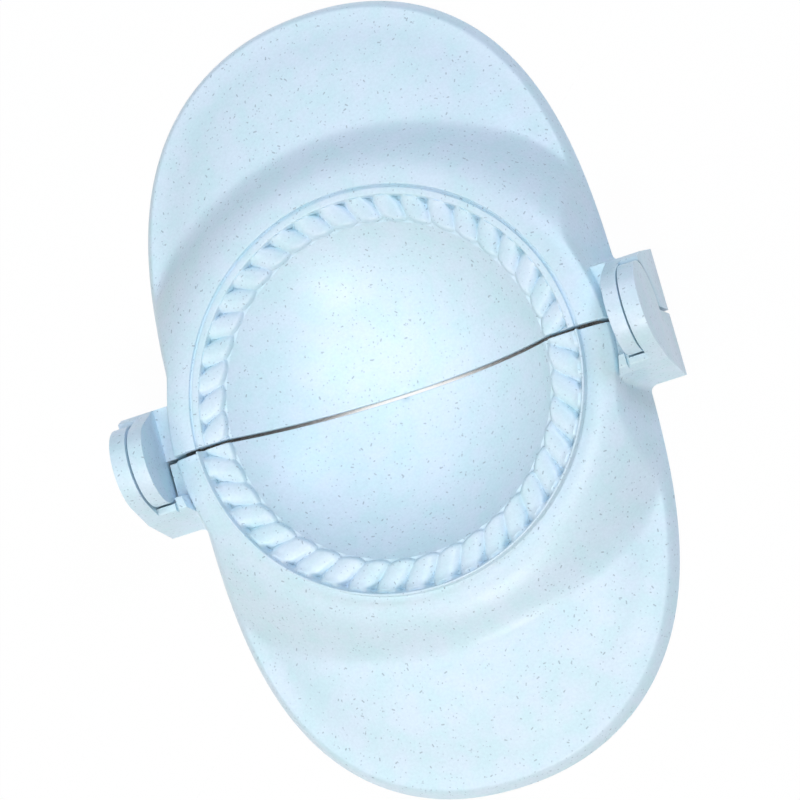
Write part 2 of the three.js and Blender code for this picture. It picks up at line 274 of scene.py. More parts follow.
@dataclass
class ShellForm:
    """Surfaces of one half: bowl, rope band, ring, crown, brim, rim and skirt.

    The steps, counts and spacings at the end say how close the mesh's rows lie.
    """

    sizes: Sizes
    band_radius: float
    ring: list[Point]
    step_depth: float
    lean: float
    strand_start_share: float
    strand_end_lift: float
    strand_count: int = 21
    strand_lean: float = math.radians(32)
    strand_width_share: float = 1.02
    strand_fullness: float = 2.0
    pocket_length: float = 1.4
    pocket_depth: float = 0.5
    pocket_width_share: float = 0.1
    strand_end_rise: float = 0.9
    strand_end_bow: float = 0.95
    across_exponent: float = 2.15
    along_exponent: float = 3.3
    brim_fall_exponent: float = 1.6
    brim_meets_rim_share: float = 0.742
    edge_zone_share: float = 0.87
    underside_zone_share: float = 0.85
    foot_round: float = 0.3
    seam_round: float = 0.2
    seam_steps: tuple[float, ...] = (0.0, 0.025, 0.07, 0.13, 0.2, 0.32)
    bowl_row_count: int = 25
    bowl_edge: float = 1.0
    bowl_edge_steps: tuple[float, ...] = (0.5, 0.2, 0.0)
    bowl_back_row_count: int = 14
    bowl_back_land: float = 0.8
    band_edge_steps: tuple[float, ...] = (0.12, 0.22, 0.3, 0.38, 0.48, 0.6, 0.75, 0.95, 1.2)
    band_row_spacing: float = 0.23
    crown_row_count: int = 21
    brim_row_count: int = 15
    edge_row_count: int = 30
    edge_row_crowding: float = 1.5
    last_edge_share: float = 0.12
    foot_row_count: int = 4
    underside_row_count: int = 12
    underside_edge_shares: tuple[float, float] = (0.14, 0.1)
    wall_samples: int = 200

    @property
    def edge_zone(self) -> float:
        """Width of the zone along the skirt's edge in which rows follow the outline."""
        return self.edge_zone_share * self.sizes.shoulder_width

    @property
    def underside_zone(self) -> float:
        """Width of that zone on the underside."""
        return self.underside_zone_share * (self.sizes.shoulder_width - self.sizes.skirt_wall)

    def outline_value(self, x: Array, v: Array, inset: Array | float) -> Array:
        """1 on the plan outline drawn inset inside the skirt's edge, more outside it.

        Args:
            x: Distances from the middle along the hinge axis.
            v: Distances from the hinge plane.
            inset: How far inside the skirt's edge the outline is drawn.

        Returns:
            The value at each point.
        """
        across = np.abs(x) / (self.sizes.half_width - inset)
        along = np.abs(v) / (self.sizes.half_length - inset)
        return across**self.across_exponent + along**self.along_exponent

    def outline_radius(self, angle: Array, inset: float) -> Array:
        """Distance from the middle to the outline.

        Args:
            angle: Directions round the bowl.
            inset: How far inside the skirt's edge the outline is drawn.

        Returns:
            The distance in each direction.
        """
        c, s = np.cos(angle), np.sin(angle)
        return bisect(np.zeros_like(angle), np.full_like(angle, 2 * self.sizes.half_length),
                      lambda radius: self.outline_value(radius * c, radius * s, inset) < 1)

    def inset_at(self, x: Array, v: Array) -> Array:
        """How far inside the skirt's edge points lie."""
        return bisect(np.full_like(x, -1.0), np.full_like(x, self.sizes.half_width - 1),
                      lambda inset: self.outline_value(x, v, inset) < 1)

    def cap_height(self, x: Array, v: Array) -> Array:
        """Height of crown, brim and rim together, before the skirt cuts them off.

        Args:
            x: Distances from the middle along the hinge axis.
            v: Distances from the hinge plane.

        Returns:
            The height at each point.
        """
        s = self.sizes
        radius = np.hypot(x, v)
        crown = -self.step_depth - (radius - s.ring_outside) ** 2 / (2 * s.crown_curve_radius)
        fall = (s.rim_depth - s.brim_root_depth) / self.brim_meets_rim_share
        brim = -s.brim_root_depth - fall * self.outline_value(x, v, 0.0) ** self.brim_fall_exponent
        return smooth_max(smooth_max(crown, brim, s.valley_round), -s.rim_depth, s.rim_round)

    def wall_height(self, radius: Array, inset: Array) -> Array:
        """Height of the leaning skirt wall with the steep drum wall that stands out of it.

        Args:
            radius: Distances from the middle.
            inset: How far inside the skirt's edge the points lie.

        Returns:
            The height at each point.
        """
        s = self.sizes
        skirt = -s.skirt_depth + inset * s.skirt_depth / s.skirt_lean
        drum = -s.skirt_depth + (s.half_width - radius) * s.skirt_depth / s.drum_lean
        return smooth_max(skirt, drum, s.drum_round)

    def wall_reach(self, v: float, height: float) -> float:
        """Where along X the outer wall has a height, at a distance from the hinge plane.

        Args:
            v: The distance from the hinge plane.
            height: The height.

        Returns:
            The distance from the middle along X.
        """
        x = np.linspace(self.sizes.ring_outside, self.sizes.half_width, self.wall_samples)
        walls = self.wall_height(np.hypot(x, v), self.inset_at(x, np.full_like(x, v)))
        return float(np.interp(height, walls[::-1], x[::-1]))

    def rope_height(self, radius: Array, angle: Array) -> Array:
        """Height of the rope-like band of slanted strands.

        Args:
            radius: Distances from the middle.
            angle: Directions round the bowl.

        Returns:
            The height at each point.
        """
        s = self.sizes
        pitch = math.pi / self.strand_count
        middle = (s.bowl_radius + self.band_radius) / 2
        outer_end = np.clip(1 - (self.band_radius - radius) / self.pocket_length, 0, 1) ** 2
        pocket = self.pocket_depth * outer_end
        half_width = self.strand_width_share * pitch * middle * math.cos(self.strand_lean) / 2
        half_width = half_width * (1 - self.pocket_width_share * outer_end)
        slant = self.lean * self.strand_lean
        full = np.zeros_like(angle)
        nearest = np.floor(angle / pitch)
        for step in (-2, -1, 0, 1, 2):
            turn = angle - (nearest + step + self.strand_start_share) * pitch
            x, y = radius * np.cos(turn) - middle, radius * np.sin(turn)
            across = np.minimum(np.abs(y * math.cos(slant) - x * math.sin(slant)) / half_width, 1)
            round_top = (1 - across**self.strand_fullness) ** (1 / self.strand_fullness)
            end = s.bowl_radius + s.strand_ledge + self.strand_end_bow * across**2
            rise = np.clip((radius - end) / self.strand_end_rise, 0, 1)
            round_end = (1 - (1 - rise) ** self.strand_fullness) ** (1 / self.strand_fullness)
            full = np.maximum(full, round_top * round_end)
        floor = -s.band_floor_depth - pocket
        crest = -s.strand_crest_depth + self.strand_end_lift * outer_end
        return floor + (crest - floor) * full

    def radius_of(self, row: Row, angle: Array) -> Array:
        """Distance of a row's points from the middle.

        Args:
            row: The row.
            angle: The points' directions.

        Returns:
            The distances.
        """
        if row.share == 0:
            return np.full_like(angle, row.start)
        return row.start + row.share * (self.outline_radius(angle, row.inset) - row.start)

    def height_of(self, row: Row, radius: Array, angle: Array) -> Array:
        """Height of a row's points.

        Args:
            row: The row.
            radius: Distances of its points from the middle.
            angle: Their directions.

        Returns:
            Their heights.
        """
        s = self.sizes
        x, v = radius * np.cos(angle), radius * np.sin(angle)
        if row.zone is Zone.BOWL:
            return s.bowl_centre_height - np.sqrt(s.bowl_sphere_radius**2 - radius**2)
        if row.zone is Zone.BOWL_BACK:
            back = s.bowl_sphere_radius + s.bowl_wall
            return s.bowl_centre_height - np.sqrt(back**2 - radius**2)
        if row.zone is Zone.BAND:
            return self.rope_height(radius, angle)
        if row.zone is Zone.FIXED:
            return np.full_like(angle, row.height)
        inset = self.inset_at(x, v)
        if row.zone is Zone.TOP:
            return smooth_min(self.cap_height(x, v), self.wall_height(radius, inset), s.edge_round)
        cap = self.cap_height(x, v) - s.shell_wall
        wall = self.wall_height(radius + s.skirt_wall, inset - s.skirt_wall)
        return smooth_min(cap, wall, s.edge_round)

    def bowl_rows(self) -> list[Row]:
        """Rows of the bowl, closer together at its rim.

        Returns:
            The rows, from the inside outwards.
        """
        rim = self.sizes.bowl_radius
        even = np.linspace(self.sizes.hinge_gap, rim - self.bowl_edge, self.bowl_row_count)
        radii = [*even, *(rim - d for d in self.bowl_edge_steps)]
        return [Row(Zone.BOWL, start=r) for r in radii]

    def band_rows(self) -> list[Row]:
        """Rows of the rope band, closest where its strands begin, and of the ring.

        Returns:
            The rows, from the inside outwards.
        """
        rim = self.sizes.bowl_radius
        inner = rim + self.band_edge_steps[-1]
        count = round((self.band_radius - inner) / self.band_row_spacing)
        even = np.linspace(inner, self.band_radius, count + 1)[1:]
        radii = [*(rim + d for d in self.band_edge_steps), *even]
        ring = [Row(Zone.FIXED, start=r, height=z) for r, z in self.ring]
        return [Row(Zone.BAND, start=r) for r in radii] + ring

    def cap_rows(self) -> list[Row]:
        """Rows of crown, brim and rim, and of the zone along the skirt's edge.

        Returns:
            The rows, from the inside outwards.
        """
        start, half = self.ring[-1][0], 0.5
        shares = [*np.linspace(0, half, self.crown_row_count + 1)[1:],
                  *np.linspace(half, 1, self.brim_row_count + 2)[1:-1]]
        closing = np.linspace(1, self.last_edge_share, self.edge_row_count)
        insets = closing**self.edge_row_crowding * self.edge_zone
        return [*(Row(Zone.TOP, start=start, share=t, inset=self.edge_zone) for t in shares),
                *(Row(Zone.TOP, share=1, inset=d) for d in insets)]

    def foot_rows(self) -> list[Row]:
        """Rows of the skirt's foot, on which the press stands, with both its edges rounded.

        Returns:
            The rows, from the outer edge to the inner one.
        """
        wall, low, foot = self.sizes.skirt_wall, -self.sizes.skirt_depth, self.foot_round

        def edge(turn: float) -> Point:
            """Inset from the foot's side, and height, of a point on its rounded edge."""
            return foot * (1 - math.cos(turn)), low + foot * (1 - math.sin(turn))

        outer = [edge(turn) for turn in np.linspace(0, math.pi / 2, self.foot_row_count)]
        inner = [edge(turn) for turn in np.linspace(math.pi / 2, 0, self.foot_row_count)]
        line = outer + [(wall - inset, height) for inset, height in inner]
        return [Row(Zone.FIXED, share=1, inset=inset, height=height) for inset, height in line]

    def under_rows(self) -> list[Row]:
        """Rows of the underside, from the foot to the middle of the bowl's back.

        Returns:
            The rows.
        """
        s = self.sizes
        inner_edge = s.skirt_wall + self.underside_zone
        first, last = self.underside_edge_shares
        rows = [Row(Zone.UNDERSIDE, share=1, inset=s.skirt_wall + t * self.underside_zone)
                for t in np.linspace(first, 1, self.underside_row_count)]
        rows += [Row(Zone.UNDERSIDE, start=s.ring_outside, share=t, inset=inner_edge)
                 for t in np.linspace(1, last, self.underside_row_count + 1)[1:]]
        under = -s.band_floor_depth - s.band_floor_wall
        back = s.bowl_sphere_radius + s.bowl_wall
        back_rim = math.sqrt(back**2 - (s.bowl_centre_height - under) ** 2)
        flat = (s.ring_outside, back_rim + self.bowl_back_land)
        rows += [Row(Zone.FIXED, start=r, height=under) for r in flat]
        radii = np.linspace(back_rim, s.hinge_gap, self.bowl_back_row_count)
        return rows + [Row(Zone.BOWL_BACK, start=r) for r in radii]

    def rows(self) -> list[Row]:
        """Rows of the shell from the bowl's middle over the top and back underneath."""
        return [*self.bowl_rows(), *self.band_rows(), *self.cap_rows(), *self.foot_rows(),
                *self.under_rows()]

    def grid(self, columns: int) -> tuple[Array, int, int]:
        """Points of the whole shell.

        The outer columns lie close to the seam, so that its edges can be rounded,
        and the first and the last column lie on it.

        Args:
            columns: Number of steps round the bowl.

        Returns:
            The points row by row, the number of points in a row and of rows.
        """
        gap = self.sizes.hinge_gap
        rows = self.rows()
        near_seam = np.array(self.seam_steps)
        points = []
        for row in rows:
            edge = np.zeros(len(near_seam))
            for _ in range(4):
                radius = self.radius_of(row, edge)
                edge = np.arcsin(np.clip((gap + near_seam) / radius, -1, 1))
            even = np.linspace(edge[-1], math.pi - edge[-1], columns + 1)[1:-1]
            angle = np.concatenate([edge, even, math.pi - edge[::-1]])
            radius = self.radius_of(row, angle)
            height = self.height_of(row, radius, angle)
            points.append(np.stack([radius * np.cos(angle), radius * np.sin(angle), height], 1))
        cloud = np.array(points)
        return self.round_seam(cloud).reshape(-1, 3), cloud.shape[1], cloud.shape[0]

    def round_seam(self, cloud: Array) -> Array:
        """Moves the points close to the seam inwards, which rounds its edges.

        Args:
            cloud: Points by row and column.

        Returns:
            The moved points.
        """
        along, side = np.gradient(cloud, axis=0), np.sign(cloud[..., 0])
        level = np.zeros(cloud.shape[:2])
        outward = np.stack([-along[..., 2] * side, level, along[..., 0] * side], -1)
        outward /= np.maximum(np.linalg.norm(outward, axis=-1, keepdims=True), 1e-9)
        outward[0], outward[-1] = (0, 0, 1), (0, 0, -1)
        distance = cloud[..., 1] - self.sizes.hinge_gap
        depth = np.clip(self.seam_round - distance, 0, self.seam_round)
        inward = self.seam_round - np.sqrt(self.seam_round**2 - depth**2)
        return cloud - outward * inward[..., None]


class Bench:
    """Hand tools that work on the active object, as a modeller uses them.

    Points nearer than MERGE are one, and ends of a plate are told apart to within TOUCH.
    """

    MERGE = 0.0008
    TOUCH = 0.0001
    RIM_STEPS = 4

    @staticmethod
    def clear() -> None:
        """Leaves edit mode and deselects everything."""
        if bpy.context.object and bpy.context.object.mode != "OBJECT":
            bpy.ops.object.mode_set(mode="OBJECT")
        bpy.ops.object.select_all(action="DESELECT")

    @staticmethod
    def pick(obj: bpy.types.Object) -> None:
        """Makes an object the only selected one and the active one.

        Args:
            obj: The object.
        """
        Bench.clear()
        obj.select_set(True)
        bpy.context.view_layer.objects.active = obj

    @staticmethod
    def place_points(obj: bpy.types.Object, points: Array) -> None:
        """Moves an object's vertices to given places."""
        obj.data.vertices.foreach_set("co", np.asarray(points, np.float32).ravel())
        obj.data.update()

    @staticmethod
    def face_outwards(obj: bpy.types.Object) -> None:
        """Turns all faces of a closed body outwards.

        Args:
            obj: The body.
        """
        Bench.pick(obj)
        bpy.ops.object.mode_set(mode="EDIT")
        bpy.ops.mesh.select_all(action="SELECT")
        bpy.ops.mesh.normals_make_consistent(inside=False)
        bpy.ops.object.mode_set(mode="OBJECT")

    @staticmethod
    def loft(points: Array, across: int, down: int) -> bpy.types.Object:
        """Closed surface through rows of points, with its open loops filled.

        Args:
            points: The points, row by row.
            across: Number of points in a row.
            down: Number of rows.

        Returns:
            The surface as an object.
        """
        Bench.clear()
        bpy.ops.mesh.primitive_grid_add(x_subdivisions=across - 1, y_subdivisions=down - 1, size=2)
        obj = bpy.context.object
        Bench.place_points(obj, points)
        bpy.ops.object.mode_set(mode="EDIT")
        bpy.ops.mesh.select_all(action="SELECT")
        bpy.ops.mesh.remove_doubles(threshold=Bench.MERGE)
        bpy.ops.mesh.select_all(action="DESELECT")
        bpy.ops.mesh.select_mode(type="EDGE")
        bpy.ops.mesh.select_non_manifold()
        bpy.ops.mesh.fill(use_beauty=True)
        Bench.face_outwards(obj)
        return obj

    @staticmethod
    def apply_modifiers(obj: bpy.types.Object) -> None:
        """Applies all modifiers of an object in their order.

        Args:
            obj: The object.
        """
        Bench.pick(obj)
        for name in [m.name for m in obj.modifiers]:
            bpy.ops.object.modifier_apply(modifier=name)

    @staticmethod
    def fuse(obj: bpy.types.Object, tool: bpy.types.Object, how: Fuse) -> None:
        """Adds a tool body to an object or cuts it out.

        Args:
            obj: The object that is kept.
            tool: The body that is used up.
            how: Whether the tool adds or cuts.
        """
        step = obj.modifiers.new("fuse", "BOOLEAN")
        step.operation = how.value
        step.solver = "EXACT"
        step.object = tool
        Bench.apply_modifiers(obj)
        bpy.data.objects.remove(tool)

    @staticmethod
    def plate(outline: Sequence[Point], inner: float, outer: float, rim: float = 0.0,
              share: Callable[[Vector, bool], float] | None = None) -> bpy.types.Object:
        """Plate with an outline in the YZ plane, extruded along X, with rounded rims.

        Args:
            outline: Corners in order, as y and z.
            inner: Where the plate starts along X.
            outer: Where it ends.
            rim: Largest radius of the rounding along its rims.
            share: Share of that radius for an edge, from its middle and whether it is outer.

        Returns:
            The plate.
        """
        Bench.clear()
        bpy.ops.mesh.primitive_circle_add(vertices=len(outline), radius=1, fill_type="NGON")
        obj = bpy.context.object
        Bench.place_points(obj, [(inner, y, z) for y, z in outline])
        bpy.ops.object.mode_set(mode="EDIT")
        bpy.ops.mesh.select_all(action="SELECT")
        bpy.ops.mesh.extrude_region_move(TRANSFORM_OT_translate={"value": (outer - inner, 0, 0)})
        Bench.face_outwards(obj)
        if share:
            weight = obj.data.attributes.new("bevel_weight_edge", "FLOAT", "EDGE")
            for edge in obj.data.edges:
                a, b = (obj.data.vertices[i].co for i in edge.vertices)
                if abs(a.x - b.x) < Bench.TOUCH:
                    is_outer = abs(a.x - outer) < Bench.TOUCH
                    weight.data[edge.index].value = share((a + b) / 2, is_outer)
            step = obj.modifiers.new("rim", "BEVEL")
            step.limit_method = "WEIGHT"
            step.width = rim
            step.segments = Bench.RIM_STEPS
            Bench.apply_modifiers(obj)
        return obj


@dataclass
class Hinge:
    """Hinge pieces at one end of a half, drawn towards +Y.

    The shares are of the rim's rounding. Bodies that are joined overlap a little or are
    offset from a shared face, and edges are picked by their place to within the touch.
    """

    sizes: Sizes
    form: ShellForm
    side: HingeSide
    rim: float = 1.0
    top_share: float = 0.8
    foot_share: float = 0.4
    gap_share: float = 0.2
    sharp_share: float = 0.1
    foot_corner_round: float = 0.3
    end_corner_round: float = 0.8
    land_corner_round: float = 0.5
    fillet_radius: float = 1.2
    least_fillet_radius: float = 0.05
    fillet_taper: float = 0.6
    fillet_sections: int = 12
    fillet_points: int = 7
    joint_overlap: float = 0.4
    seam_offset: float = 0.05
    tool_overrun: float = 1.0
    touch: float = 0.06
    arc_step: float = math.radians(3.75)

    def rim_share(self, pocket: float) -> Callable[[Vector, bool], float]:
        """How much the rims of a knuckle, cheek or block are rounded.

        Args:
            pocket: Radius of the hollow round in the outline, 0 where it has none.

        Returns:
            A function of the middle of an edge and of whether the edge is on the outer rim.
        """
        s = self.sizes

        def share(middle: Vector, is_outer: bool) -> float:
            """Share of the rim's radius for one edge.

            Args:
                middle: Middle of the edge.
                is_outer: Whether it is on the outer rim.

            Returns:
                The share.
            """
            at_pocket = abs(math.hypot(middle.y, middle.z) - pocket) < self.touch
            if middle.y < s.hinge_gap + self.touch and middle.z < 0 or at_pocket:
                return self.sharp_share
            if not is_outer:
                return self.gap_share
            if middle.z < self.touch - s.skirt_depth:
                return self.foot_share
            return 1.0 if middle.z < -s.block_corner_depth else self.top_share

        return share

    def arc(self, radius: float, start: float, end: float) -> list[Point]:
        """Points on a round about the hinge axis from one direction to another.

        Args:
            radius: Radius of the round.
            start: First direction.
            end: Last direction.

        Returns:
            The points, as y and z.
        """
        steps = max(2, round(abs(end - start) / self.arc_step))
        angles = np.linspace(start, end, steps + 1)
        return [(radius * math.cos(a), radius * math.sin(a)) for a in angles]

    def touch_angle(self, radius: float) -> float:
        """Direction in which a line from the block's corner touches a round.

        Args:
            radius: Radius of the round.

        Returns:
            The direction.
        """
        s = self.sizes
        distance = math.hypot(s.block_corner_reach, s.block_corner_depth)
        return math.acos(radius / distance) - math.atan2(s.block_corner_depth, s.block_corner_reach)

    def end_reach(self, depth: float) -> float:
        """Distance of the slanted end of the blocks from the hinge plane at a depth.

        Args:
            depth: The depth.

        Returns:
            The distance.
        """
        s = self.sizes
        if depth > s.block_corner_depth:
            share = (depth - s.block_corner_depth) / (s.skirt_depth - s.block_corner_depth)
            return s.block_corner_reach + share * (s.block_foot_reach - s.block_corner_reach)
        touch = self.touch_angle(s.cheek_radius)
        reach, top = s.cheek_radius * math.cos(touch), s.cheek_radius * math.sin(touch)
        share = (s.block_corner_depth - depth) / (s.block_corner_depth + top)
        return s.block_corner_reach + share * (reach - s.block_corner_reach)

    def disc_with_block(self, radius: float) -> list[Point]:
        """Side view of a round knuckle or cheek with the block that grows out of it.

        Args:
            radius: Radius of the knuckle or cheek.

        Returns:
            The outline, as y and z.
        """
        s = self.sizes
        touch = self.touch_angle(radius)
        foot = -math.acos(s.hinge_gap / radius)
        corners = [
            (s.hinge_gap, -s.skirt_depth),
            (s.block_foot_reach, -s.skirt_depth),
            (s.block_corner_reach, -s.block_corner_depth),
            (radius * math.cos(touch), radius * math.sin(touch)),
        ]
        radii = [0, self.foot_corner_round, self.end_corner_round, 0]
        return rounded(corners, radii)[:-1] + self.arc(radius, touch, foot + 2 * math.pi)

    def pocket_block(self, disc_radius: float) -> list[Point]:
        """Side view of a block with the hollow round that the other half's disc turns in.

        Args:
            disc_radius: Radius of that disc.

        Returns:
            The outline, as y and z.
        """
        s = self.sizes
        radius = disc_radius + s.pocket_clearance
        land = -math.asin(s.block_land_depth / radius)
        foot = -math.acos(s.hinge_gap / radius)
        corners = [
            (s.hinge_gap, -s.skirt_depth),
            (s.block_foot_reach, -s.skirt_depth),
            (s.block_corner_reach, -s.block_corner_depth),
            (self.end_reach(s.block_land_depth), -s.block_land_depth),
            (radius * math.cos(land), -s.block_land_depth),
        ]
        radii = [0, self.foot_corner_round, self.end_corner_round, self.land_corner_round, 0]
        return rounded(corners, radii)[:-1] + self.arc(radius, land, foot)

    def web(self, outer: float) -> bpy.types.Object:
        """Web that joins the hinge to the drum wall, flat on top.

        Args:
            outer: Where it ends along X.

        Returns:
            The body.
        """
        s = self.sizes
        near, top = s.hinge_gap + self.seam_offset, -s.web_top_depth
        low = -s.skirt_depth + self.seam_offset
        end = self.end_reach(s.web_top_depth)
        outline = [(near, low), (s.block_foot_reach, low), (end, top), (near, top)]
        obj = Bench.plate(outline, s.ring_outside, outer)
        root = s.half_width - s.skirt_wall / 2
        lean = s.drum_lean / (s.skirt_depth * math.cos(s.drum_turn))
        for vertex in obj.data.vertices:
            if vertex.co.x < s.ring_outside + self.touch:
                rise = vertex.co.z + s.skirt_depth
                vertex.co.x = root - vertex.co.y * math.tan(s.drum_turn) - rise * lean
        return obj

    def fillet(self, top: float) -> bpy.types.Object:
        """Hollow fillet between the blocks' slanted end and the outer wall.

        Args:
            top: Height up to which it runs.

        Returns:
            The body.
        """
        low = -self.sizes.skirt_depth + self.seam_offset
        sections = []
        for height in np.linspace(low, top, self.fillet_sections):
            end = self.end_reach(-height)
            tapered = max(self.least_fillet_radius, (top - height) * self.fillet_taper)
            reach = min(self.fillet_radius, tapered)
            wall = self.form.wall_reach(end + reach, height)
            line = [(wall + reach - reach * math.sin(t), end + reach - reach * math.cos(t))
                    for t in np.linspace(0, math.pi / 2, self.fillet_points)]
            inside, behind = line[-1][0] - self.joint_overlap, end - self.joint_overlap
            ring = [*line, (inside, line[-1][1]), (inside, behind), (line[0][0], behind), line[0]]
            sections += [(x, y, height) for x, y in ring]
        return Bench.loft(np.array(sections), len(ring), self.fillet_sections)

    def bar(self, radius: float, inner: float, outer: float) -> bpy.types.Object:
        """Round bar along X."""
        return Bench.plate(self.arc(radius, 0, 2 * math.pi)[:-1], inner, outer)

    def bodies(self) -> bpy.types.Object:
        """The hinge pieces as one body. Each half has its own."""
        raise NotImplementedError

    def build(self) -> bpy.types.Object:
        """The hinge pieces on their own side of the press.

        Returns:
            The body.
        """
        obj = self.bodies()
        if self.side is HingeSide.MINUS:
            for vertex in obj.data.vertices:
                vertex.co.x = -vertex.co.x
        Bench.face_outwards(obj)
        return obj


@dataclass
class RearHinge(Hinge):
    """Web, knuckle with its blind hole, and the block in which the cheek turns."""

    knuckle_share: float = 0.3

    def knuckle_rim_share(self, middle: Vector, is_outer: bool) -> float:
        """How much the knuckle's rims are rounded, the same on both its faces."""
        return self.knuckle_share * self.rim_share(0)(middle, True)

    def bodies(self) -> bpy.types.Object:
        """The rear half's hinge pieces as one body.

        Returns:
            The body.
        """
        s = self.sizes
        inside, outside = s.knuckle_inside, s.knuckle_outside
        room = s.cheek_radius + s.pocket_clearance
        obj = Bench.plate(self.disc_with_block(s.knuckle_radius), outside, inside, self.rim,
                          self.knuckle_rim_share)
        block = Bench.plate(self.pocket_block(s.cheek_radius), outside - self.joint_overlap,
                            s.cheek_outside, self.rim, self.rim_share(room))
        Bench.fuse(block, self.bar(room, outside - self.tool_overrun, outside), Fuse.CUT)
        Bench.fuse(obj, block, Fuse.ADD)
        Bench.fuse(obj, self.web(inside + self.joint_overlap), Fuse.ADD)
        Bench.fuse(obj, self.fillet(-s.web_top_depth - self.seam_offset), Fuse.ADD)
        hole = self.bar(s.stub_radius + s.stub_clearance, inside + s.stub_hole_floor,
                        outside + self.tool_overrun)
        Bench.fuse(obj, hole, Fuse.CUT)
        return obj


@dataclass
class FrontHinge(Hinge):
    """Web, arm with its slot, knuckle block, and the outer cheek with its stub."""

    arm_sink: float = 0.5
    arm_root_round: float = 0.3

    def arm(self, outer: float) -> bpy.types.Object:
        """Arm that stands on the web and joins the crown.

        Args:
            outer: Where it ends along X.

        Returns:
            The body.
        """
        s = self.sizes
        near, top = s.block_corner_reach - s.arm_width, -s.block_land_depth
        low = -s.web_top_depth - self.arm_sink
        corners = [
            (near, low),
            (self.end_reach(-low), low),
            (s.block_corner_reach, -s.block_corner_depth),
            (self.end_reach(-top), top),
            (near, top),
            (near, low),
        ]
        radii = [0, 0, self.end_corner_round, self.land_corner_round, self.arm_root_round, 0]
        obj = Bench.plate(rounded(corners, radii)[:-1], s.ring_outside, outer)
        for vertex in obj.data.vertices:
            if vertex.co.x < s.ring_outside + self.touch:
                vertex.co.x = (s.arm_inner_reach - (vertex.co.y - near) * s.arm_inner_turn
                               - (top - vertex.co.z) * s.arm_inner_lean)
        return obj

    def bodies(self) -> bpy.types.Object:
        """The front half's hinge pieces as one body.

        Returns:
            The body.
        """
        s = self.sizes
        web_outside = s.knuckle_inside - s.layer_clearance
        room = s.knuckle_radius + s.pocket_clearance
        obj = Bench.plate(self.pocket_block(s.knuckle_radius), web_outside - self.joint_overlap,
                          s.cheek_inside + self.joint_overlap)
        Bench.fuse(obj, self.arm(web_outside), Fuse.ADD)
        Bench.fuse(obj, self.web(web_outside - self.seam_offset), Fuse.ADD)
        Bench.fuse(obj, self.fillet(-s.block_corner_depth), Fuse.ADD)
        near, far = s.block_corner_reach - s.arm_width - self.tool_overrun, s.block_foot_reach
        low, top = -s.block_land_depth - s.arm_slot_depth, -s.block_land_depth + self.tool_overrun
        slot = Bench.plate([(near, low), (far, low), (far, top), (near, top)],
                           web_outside - s.arm_slot_width, web_outside)
        Bench.fuse(obj, slot, Fuse.CUT)
        cheek = Bench.plate(self.disc_with_block(s.cheek_radius), s.cheek_inside, s.cheek_outside,
                            self.rim, self.rim_share(0))
        Bench.fuse(obj, cheek, Fuse.ADD)
        stub = self.bar(s.stub_radius, s.cheek_inside + self.joint_overlap,
                        s.cheek_inside - s.stub_length)
        Bench.fuse(obj, stub, Fuse.ADD)
        return obj


def linear(hex_colour: str) -> tuple[float, float, float, float]:
    """Linear colour of an sRGB hex value.

    Args:
        hex_colour: Six hex digits after a #.

    Returns:
        Linear red, green and blue, and an alpha of 1.
    """
    parts = [int(hex_colour[i:i + 2], 16) / 255 for i in (1, 3, 5)]
    red, green, blue = (c / 12.92 if c <= 0.04045 else ((c + 0.055) / 1.055) ** 2.4 for c in parts)
    return red, green, blue, 1.0


def add_node(tree: bpy.types.NodeTree, kind: str, settings: Settings | None = None,
             links: Settings | None = None) -> bpy.types.Node:
    """Adds a node with its settings and links.

    Args:
        tree: The material's or world's node tree.
        kind: The node's type, without the ShaderNode that all of them start with.
        settings: Values of the node's properties, and of its inputs by name or index.
        links: Output sockets of other nodes by the name or index of the input they feed.

    Returns:
        The node.
    """
    node = tree.nodes.new("ShaderNode" + kind)
    for name, value in (settings or {}).items():
        if isinstance(name, str) and hasattr(node, name):
            setattr(node, name, value)
        else:
            node.inputs[name].default_value = value
    for name, socket in (links or {}).items():
        tree.links.new(socket, node.inputs[name])
    return node


